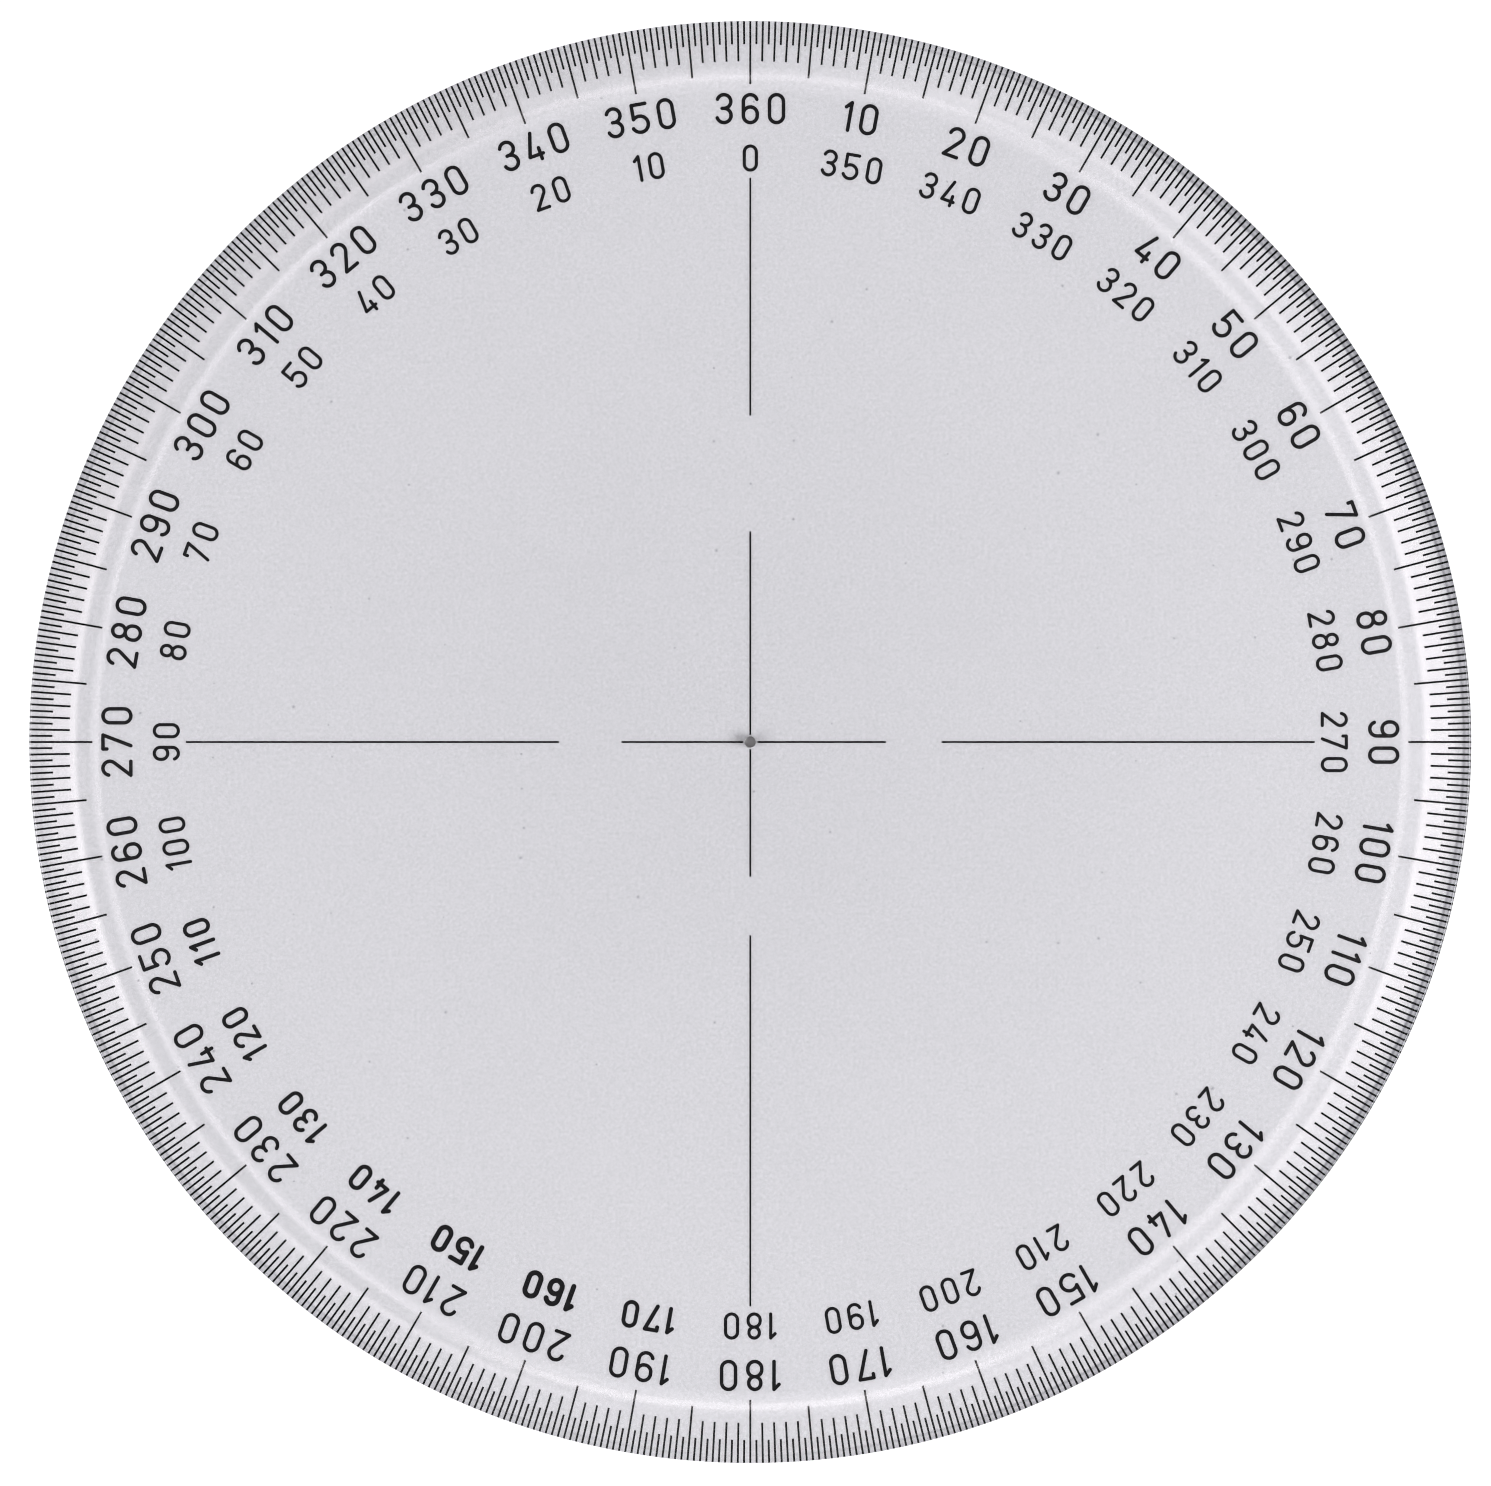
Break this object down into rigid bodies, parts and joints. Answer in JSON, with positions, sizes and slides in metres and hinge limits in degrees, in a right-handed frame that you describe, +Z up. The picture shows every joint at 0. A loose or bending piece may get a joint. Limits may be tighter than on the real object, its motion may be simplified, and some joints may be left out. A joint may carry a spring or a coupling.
{
  "type": "full-circle protractor",
  "caption": "Clear round drawing protractor with a bevelled edge, fine degree marks engraved underneath, numerals running both ways, a centre cross and a needle hole.",
  "frame": {"origin": "on the axis of the centre hole, in the flat underside that lies on the paper", "axes": "+Z up through the plate towards the reader, +Y towards the 360 mark, +X towards the outer 90 mark"},
  "size_m": [0.15, 0.15, 0.0016],
  "materials": {
    "clear_plastic": "clear polished acrylic",
    "line_fill": "black colour rubbed into the engraved lines",
    "numeral_fill": "black colour rubbed into the engraved numerals"
  },
  "bodies": {
    "root": {"disc": "clear_plastic", "half_degree_marks": "line_fill", "degree_marks": "line_fill", "five_degree_marks": "line_fill", "ten_degree_marks": "line_fill", "cross_line_360_inner": "line_fill", "cross_line_360_outer": "line_fill", "cross_line_90_inner": "line_fill", "cross_line_90_outer": "line_fill", "cross_line_180_inner": "line_fill", "cross_line_180_outer": "line_fill", "cross_line_270_inner": "line_fill", "cross_line_270_outer": "line_fill", "clockwise_numerals_10_to_90": "numeral_fill", "clockwise_numerals_100_to_180": "numeral_fill", "clockwise_numerals_190_to_270": "numeral_fill", "clockwise_numerals_280_to_360": "numeral_fill", "counterclockwise_numerals_0_to_80": "numeral_fill", "counterclockwise_numerals_90_to_170": "numeral_fill", "counterclockwise_numerals_180_to_260": "numeral_fill", "counterclockwise_numerals_270_to_350": "numeral_fill"}
  },
  "joints": []
}
